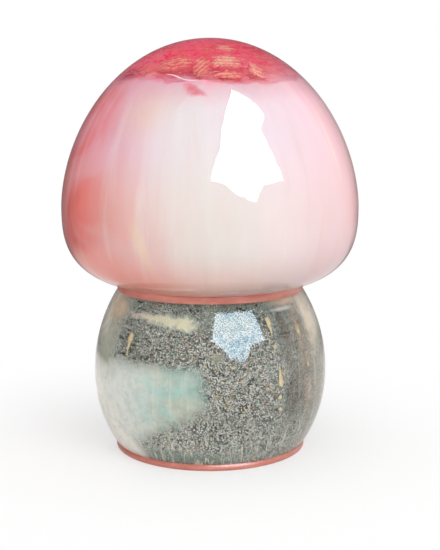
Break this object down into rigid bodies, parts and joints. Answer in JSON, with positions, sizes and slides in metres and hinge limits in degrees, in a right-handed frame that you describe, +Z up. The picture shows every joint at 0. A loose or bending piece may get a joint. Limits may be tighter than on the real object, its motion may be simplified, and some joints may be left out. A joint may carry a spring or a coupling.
{
  "type": "resin toadstool ornament",
  "caption": "Free-standing toadstool paperweight cast in layers: pearl dome cap with a red and gold crown on a clear barrel stem with glitter.",
  "frame": {"origin": "centre of the flat underside of the base disc, on the surface that the ornament stands on", "axes": "+Z up along the axis of the stem and the cap; -Y is the side that the picture shows, with the gold flow lines right of its middle"},
  "size_m": [0.066, 0.066, 0.0915],
  "materials": {
    "coral_resin": "gloss pigmented resin",
    "clear_resin": "polished clear resin",
    "glitter_resin": "clear smoky resin full of ultra-fine silver glitter",
    "gold_mica": "gold mica flow lines in clear resin",
    "pink_clear_resin": "polished clear resin with a trace of pink",
    "pearl_resin": "pearl pink mica resin",
    "red_resin": "translucent red resin",
    "metal_leaf": "crinkled leaf"
  },
  "bodies": {
    "root": {"base_disc": "coral_resin", "stem_glitter_core": "glitter_resin", "stem_clear_coat": "clear_resin", "gold_drop_1": "gold_mica", "gold_drop_2": "gold_mica", "gold_drop_3": "gold_mica", "gold_drop_4": "gold_mica", "gold_drop_5": "gold_mica", "gold_bead_1": "gold_mica", "gold_bead_2": "gold_mica", "gold_bead_3": "gold_mica", "collar_disc": "coral_resin", "cap_pearl_core": "pearl_resin", "cap_clear_coat": "pink_clear_resin", "crown_red_pour": "red_resin", "crown_leaf_1": "metal_leaf", "crown_leaf_2": "metal_leaf", "crown_leaf_3": "metal_leaf", "crown_leaf_4": "metal_leaf", "crown_leaf_5": "metal_leaf", "crown_leaf_6": "metal_leaf", "crown_leaf_7": "metal_leaf", "crown_leaf_8": "metal_leaf"}
  },
  "joints": []
}
